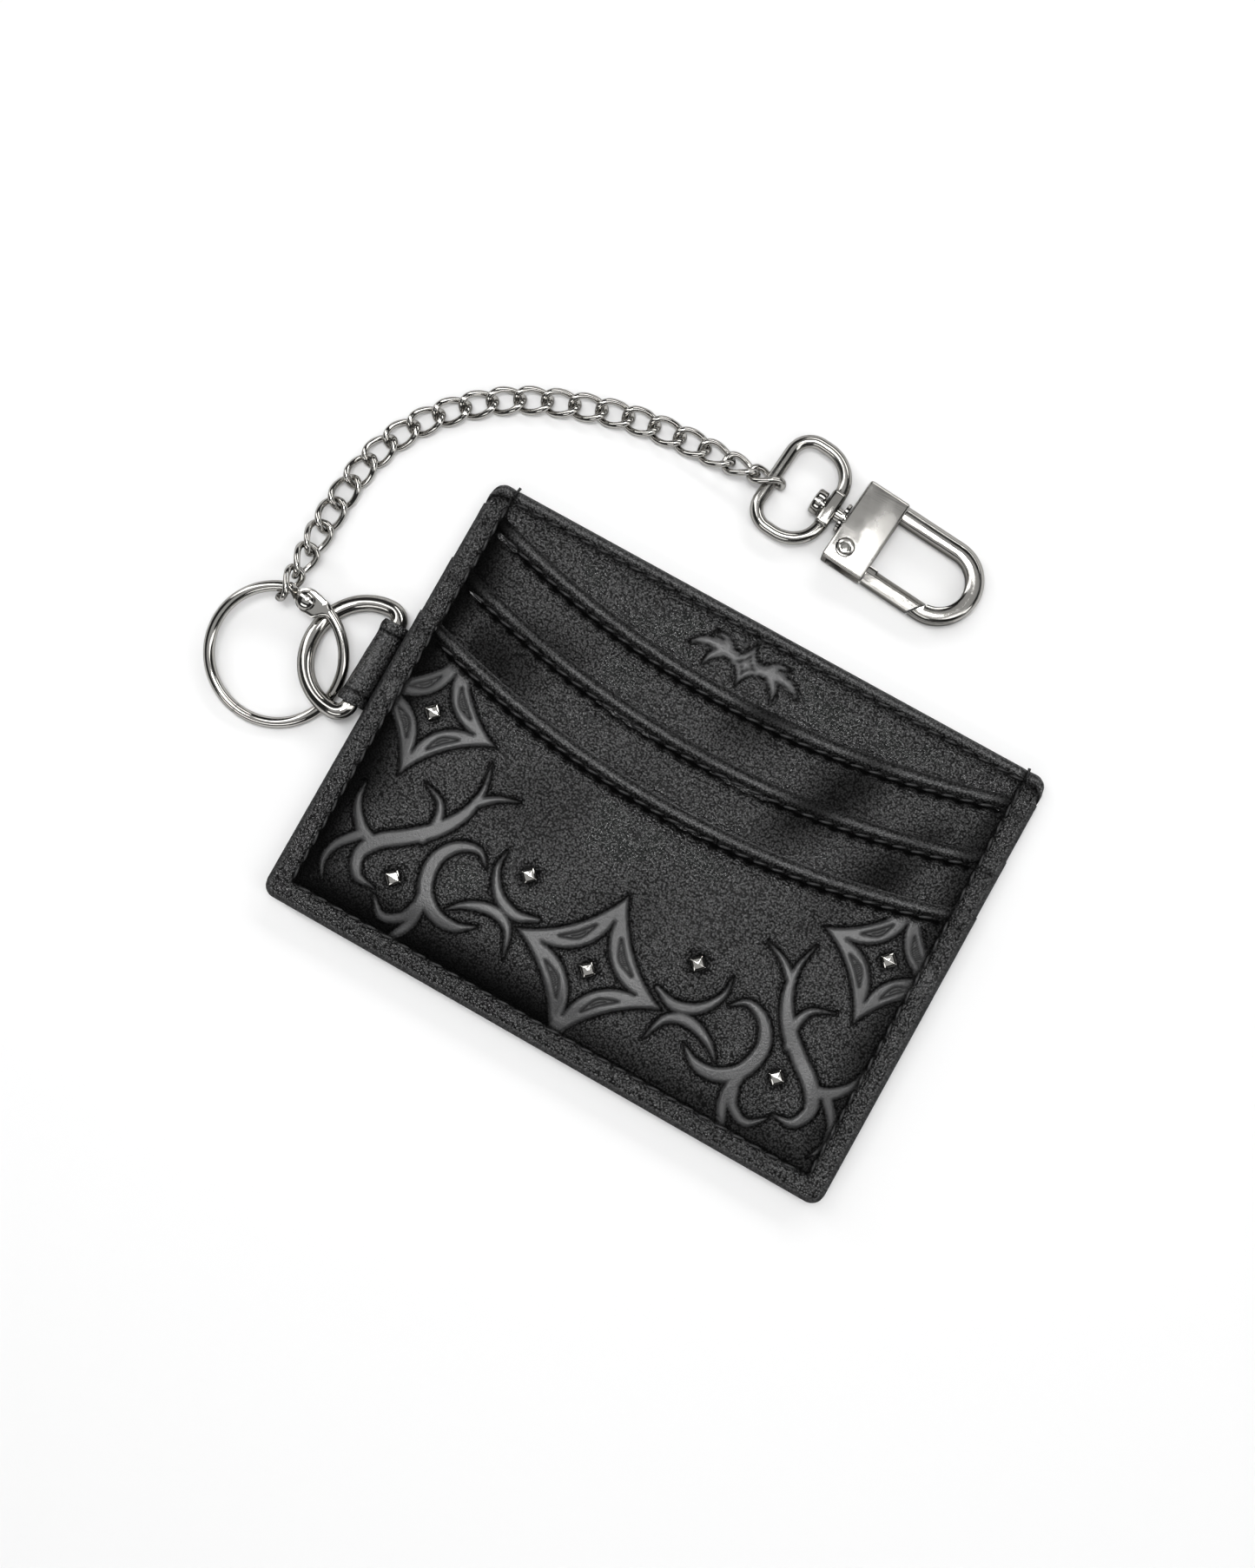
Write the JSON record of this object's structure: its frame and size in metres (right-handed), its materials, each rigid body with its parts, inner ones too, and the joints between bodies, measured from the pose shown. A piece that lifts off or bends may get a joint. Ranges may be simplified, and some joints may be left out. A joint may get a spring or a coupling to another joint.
{
  "type": "chain wallet",
  "caption": "Sewn leather card wallet with dipped slot mouths, pyramid studs, a D-ring tab, a hinged ring, a curb chain and a swivel snap hook.",
  "frame": {"origin": "centre of the wallet's back face, on the surface it lies on", "axes": "+X along the wallet's long side towards the end without the ring, +Y towards the slot mouths and the chain, +Z out of the studded front"},
  "size_m": [0.1289, 0.1066, 0.0074],
  "materials": {
    "black_leather": "grained, satin, pressed bands smoother",
    "black_lining": "plain woven, matt",
    "black_thread": "twisted polyester, satin",
    "polished_nickel": "nickel plated, polished",
    "cast_nickel": "die cast, nickel plated, light handling marks",
    "spring_steel": "drawn wire"
  },
  "bodies": {
    "wallet": {"back_panel": "black_leather", "pocket_lining_back": "black_lining", "pocket_lining_front": "black_lining", "front_panel": "black_leather", "slot_panel_upper": "black_leather", "slot_panel_middle": "black_leather", "slot_panel_lower": "black_leather", "ring_tab": "black_leather", "stud_01": "polished_nickel", "stud_02": "polished_nickel", "stud_03": "polished_nickel", "stud_04": "polished_nickel", "stud_05": "polished_nickel", "stud_06": "polished_nickel", "stud_07": "polished_nickel", "thread_sides": "black_thread", "thread_top": "black_thread", "thread_mouth_upper": "black_thread", "thread_mouth_middle": "black_thread", "thread_mouth_lower": "black_thread"},
    "d_ring": {"d_ring": "cast_nickel"},
    "ring_body": {"ring_hinged_half": "cast_nickel", "ring_rivet": "polished_nickel"},
    "ring_gate": {"ring_opening_half": "cast_nickel"},
    "link_01": {"chain_link_01": "polished_nickel"},
    "link_02": {"chain_link_02": "polished_nickel"},
    "link_03": {"chain_link_03": "polished_nickel"},
    "link_04": {"chain_link_04": "polished_nickel"},
    "link_05": {"chain_link_05": "polished_nickel"},
    "link_06": {"chain_link_06": "polished_nickel"},
    "link_07": {"chain_link_07": "polished_nickel"},
    "link_08": {"chain_link_08": "polished_nickel"},
    "link_09": {"chain_link_09": "polished_nickel"},
    "link_10": {"chain_link_10": "polished_nickel"},
    "link_11": {"chain_link_11": "polished_nickel"},
    "link_12": {"chain_link_12": "polished_nickel"},
    "link_13": {"chain_link_13": "polished_nickel"},
    "link_14": {"chain_link_14": "polished_nickel"},
    "link_15": {"chain_link_15": "polished_nickel"},
    "link_16": {"chain_link_16": "polished_nickel"},
    "link_17": {"chain_link_17": "polished_nickel"},
    "link_18": {"chain_link_18": "polished_nickel"},
    "link_19": {"chain_link_19": "polished_nickel"},
    "link_20": {"chain_link_20": "polished_nickel"},
    "link_21": {"chain_link_21": "polished_nickel"},
    "link_22": {"chain_link_22": "polished_nickel"},
    "loop": {"swivel_loop": "cast_nickel"},
    "hook": {"swivel_stud": "polished_nickel", "swivel_washer": "polished_nickel", "hook_housing": "cast_nickel", "hook_bow": "cast_nickel", "gate_rivet": "polished_nickel", "gate_spring": "spring_steel"},
    "gate": {"hook_gate": "cast_nickel"}
  },
  "joints": [
    {"name": "d_ring_swing", "type": "hinge", "parent": "wallet", "child": "d_ring", "pos_m": [-0.0524, 0.0019, 0.00335], "axis": [0, 0.991, -0.1338], "range_deg": [0, 90]},
    {"name": "ring_turn", "type": "hinge", "parent": "d_ring", "child": "ring_body", "pos_m": [-0.0671, -0.00415, 0.00295], "axis": [0.0678, -0.1598, 0.9848], "range_deg": [0, 40]},
    {"name": "ring_open", "type": "hinge", "parent": "ring_body", "child": "ring_gate", "pos_m": [-0.06665, 0.00577, 0.00453], "axis": [0.0678, -0.1598, 0.9848], "range_deg": [-14, 0]},
    {"name": "chain_01_lift", "type": "hinge", "parent": "ring_body", "child": "link_01", "pos_m": [-0.07005, 0.00622, 0.00484], "axis": [0.9605, 0.2773, -0.0212], "range_deg": [0, 45]},
    {"name": "chain_02_turn", "type": "hinge", "parent": "link_01", "child": "link_02", "pos_m": [-0.0704, 0.00889, 0.0046], "axis": [0, 0, -1], "range_deg": [-7, 6]},
    {"name": "chain_03_turn", "type": "hinge", "parent": "link_02", "child": "link_03", "pos_m": [-0.07073, 0.01322, 0.00355], "axis": [0, 0, 1], "range_deg": [-6, 10]},
    {"name": "chain_04_turn", "type": "hinge", "parent": "link_03", "child": "link_04", "pos_m": [-0.07101, 0.01758, 0.0026], "axis": [0, 0, -1], "range_deg": [-10, 6]},
    {"name": "chain_05_turn", "type": "hinge", "parent": "link_04", "child": "link_05", "pos_m": [-0.0711, 0.02199, 0.0019], "axis": [0, 0, 1], "range_deg": [-6, 16]},
    {"name": "chain_06_turn", "type": "hinge", "parent": "link_05", "child": "link_06", "pos_m": [-0.07085, 0.02643, 0.00145], "axis": [0, 0, -1], "range_deg": [-16, 6]},
    {"name": "chain_07_turn", "type": "hinge", "parent": "link_06", "child": "link_07", "pos_m": [-0.07014, 0.03084, 0.00132], "axis": [0, 0, 1], "range_deg": [-6, 16]},
    {"name": "chain_08_turn", "type": "hinge", "parent": "link_07", "child": "link_08", "pos_m": [-0.06868, 0.03507, 0.00132], "axis": [0, 0, -1], "range_deg": [-16, 6]},
    {"name": "chain_09_turn", "type": "hinge", "parent": "link_08", "child": "link_09", "pos_m": [-0.06659, 0.03902, 0.00132], "axis": [0, 0, 1], "range_deg": [-6, 16]},
    {"name": "chain_10_turn", "type": "hinge", "parent": "link_09", "child": "link_10", "pos_m": [-0.0639, 0.04259, 0.00132], "axis": [0, 0, -1], "range_deg": [-16, 6]},
    {"name": "chain_11_turn", "type": "hinge", "parent": "link_10", "child": "link_11", "pos_m": [-0.0608, 0.04581, 0.00132], "axis": [0, 0, 1], "range_deg": [-6, 16]},
    {"name": "chain_12_turn", "type": "hinge", "parent": "link_11", "child": "link_12", "pos_m": [-0.05736, 0.04866, 0.00132], "axis": [0, 0, -1], "range_deg": [-16, 6]},
    {"name": "chain_13_turn", "type": "hinge", "parent": "link_12", "child": "link_13", "pos_m": [-0.0536, 0.05109, 0.00132], "axis": [0, 0, 1], "range_deg": [-6, 16]},
    {"name": "chain_14_turn", "type": "hinge", "parent": "link_13", "child": "link_14", "pos_m": [-0.04957, 0.05301, 0.00132], "axis": [0, 0, -1], "range_deg": [-16, 6]},
    {"name": "chain_15_turn", "type": "hinge", "parent": "link_14", "child": "link_15", "pos_m": [-0.04538, 0.05457, 0.00132], "axis": [0, 0, 1], "range_deg": [-6, 16]},
    {"name": "chain_16_turn", "type": "hinge", "parent": "link_15", "child": "link_16", "pos_m": [-0.04112, 0.05592, 0.00132], "axis": [0, 0, -1], "range_deg": [-16, 6]},
    {"name": "chain_17_turn", "type": "hinge", "parent": "link_16", "child": "link_17", "pos_m": [-0.03678, 0.05699, 0.00132], "axis": [0, 0, 1], "range_deg": [-6, 16]},
    {"name": "chain_18_turn", "type": "hinge", "parent": "link_17", "child": "link_18", "pos_m": [-0.03236, 0.05768, 0.00132], "axis": [0, 0, -1], "range_deg": [-16, 6]},
    {"name": "chain_19_turn", "type": "hinge", "parent": "link_18", "child": "link_19", "pos_m": [-0.02791, 0.05808, 0.00132], "axis": [0, 0, 1], "range_deg": [-6, 16]},
    {"name": "chain_20_turn", "type": "hinge", "parent": "link_19", "child": "link_20", "pos_m": [-0.02345, 0.05829, 0.0015], "axis": [0, 0, -1], "range_deg": [-10, 6]},
    {"name": "chain_21_turn", "type": "hinge", "parent": "link_20", "child": "link_21", "pos_m": [-0.01899, 0.05836, 0.00185], "axis": [0, 0, 1], "range_deg": [-6, 10]},
    {"name": "chain_22_turn", "type": "hinge", "parent": "link_21", "child": "link_22", "pos_m": [-0.01455, 0.0586, 0.00235], "axis": [0, 0, -1], "range_deg": [-10, 6]},
    {"name": "loop_swing", "type": "hinge", "parent": "link_22", "child": "loop", "pos_m": [-0.01135, 0.06006, 0.0025], "axis": [-0.0872, -0.9962, 0], "range_deg": [0, 60]},
    {"name": "swivel_spin", "type": "hinge", "parent": "loop", "child": "hook", "pos_m": [0.0019, 0.0589, 0.0025], "axis": [0.9962, -0.0872, 0], "continuous": true},
    {"name": "gate_open", "type": "hinge", "parent": "hook", "child": "gate", "pos_m": [0.00402, 0.0545, 0.0025], "axis": [0, 0, 1], "range_deg": [0, 25], "stiffness_Nm_per_rad": 0.01, "springref_deg": -20.05}
  ]
}
